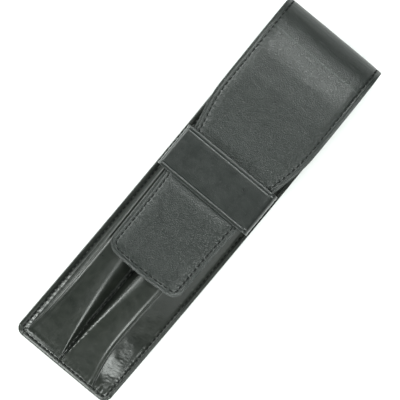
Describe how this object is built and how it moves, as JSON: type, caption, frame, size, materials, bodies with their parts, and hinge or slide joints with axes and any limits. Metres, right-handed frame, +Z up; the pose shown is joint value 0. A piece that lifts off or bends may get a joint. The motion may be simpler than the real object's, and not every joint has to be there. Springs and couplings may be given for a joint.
{
  "type": "fountain pen case",
  "caption": "Slim black leather case with pleated pen channels and a fold-over flap whose tongue tucks under a sewn strap.",
  "frame": {"origin": "centre of the bounding box's underside, on the back of the closed case as it lies on a table", "axes": "+X across the case towards the side with the wide sloping flank, +Y along the case towards the folded end, +Z up out of the front"},
  "size_m": [0.0454, 0.165, 0.0188],
  "materials": {
    "case_leather": "satin pebbled",
    "front_leather": "semi-gloss smooth",
    "strap_leather": "semi-gloss smooth",
    "lining_leather": "matte",
    "channel_lining": "matte",
    "stiffener_board": "matte",
    "black_thread": "matte"
  },
  "bodies": {
    "case": {"back_outer_leather": "case_leather", "back_stiffener": "stiffener_board", "back_lining": "lining_leather", "front_panel": "front_leather", "left_channel_lining": "channel_lining", "right_channel_lining": "channel_lining", "strap_outer": "strap_leather", "strap_lining": "lining_leather", "perimeter_stitching": "black_thread", "centre_stitching": "black_thread", "strap_stitching": "black_thread"},
    "fold_lower": {"fold_lower_leather": "case_leather", "fold_lower_lining": "lining_leather"},
    "fold_upper": {"fold_upper_leather": "case_leather", "fold_upper_lining": "lining_leather"},
    "flap": {"flap_outer_leather": "case_leather", "flap_stiffener": "stiffener_board", "flap_lining": "lining_leather", "flap_stitching": "black_thread"}
  },
  "joints": [
    {"name": "back_to_fold", "type": "hinge", "parent": "case", "child": "fold_lower", "pos_m": [0, 0.0733, 0], "axis": [-1, 0, 0], "range_deg": [0, 45]},
    {"name": "fold_middle", "type": "hinge", "parent": "fold_lower", "child": "fold_upper", "pos_m": [0, 0.0825, 0.0092], "axis": [-1, 0, 0], "range_deg": [0, 90]},
    {"name": "fold_to_flap", "type": "hinge", "parent": "fold_upper", "child": "flap", "pos_m": [0, 0.0733, 0.0184], "axis": [-1, 0, 0], "range_deg": [0, 45]}
  ],
  "couplings": [
    {"joint": "fold_middle", "follows": "back_to_fold", "ratio": 2},
    {"joint": "fold_to_flap", "follows": "back_to_fold", "ratio": 1}
  ]
}
